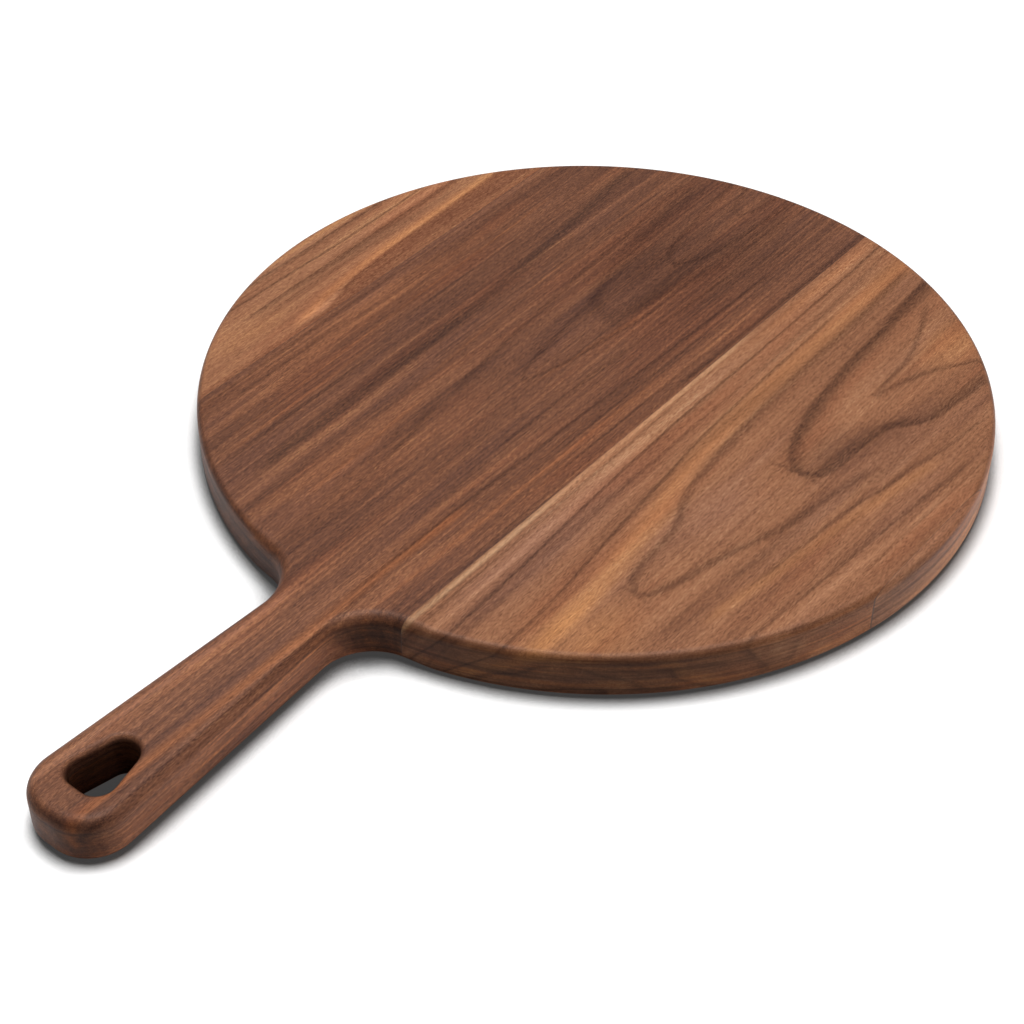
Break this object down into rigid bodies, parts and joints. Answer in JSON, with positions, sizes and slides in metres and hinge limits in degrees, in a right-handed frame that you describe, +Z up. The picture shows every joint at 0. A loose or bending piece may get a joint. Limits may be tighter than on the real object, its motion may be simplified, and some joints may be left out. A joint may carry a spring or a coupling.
{
  "type": "pizza serving board",
  "caption": "Round walnut serving board with a flared paddle handle and a pear-shaped hanging hole, edge-glued from staves, with rounded edges all round.",
  "frame": {"origin": "centre of the disc on the flat underside", "axes": "+Z up through the thickness, handle along -Y, +X across the staves"},
  "size_m": [0.305, 0.433, 0.019],
  "materials": {
    "left_walnut": "satin oil",
    "centre_walnut": "satin oil",
    "right_walnut": "satin oil",
    "edge_walnut": "satin oil",
    "glue": "clear, dried"
  },
  "bodies": {
    "root": {"left_stave": "left_walnut", "left_glue_line": "glue", "centre_stave": "centre_walnut", "right_glue_line": "glue", "right_stave": "right_walnut", "edge_glue_line": "glue", "edge_stave": "edge_walnut"}
  },
  "joints": []
}
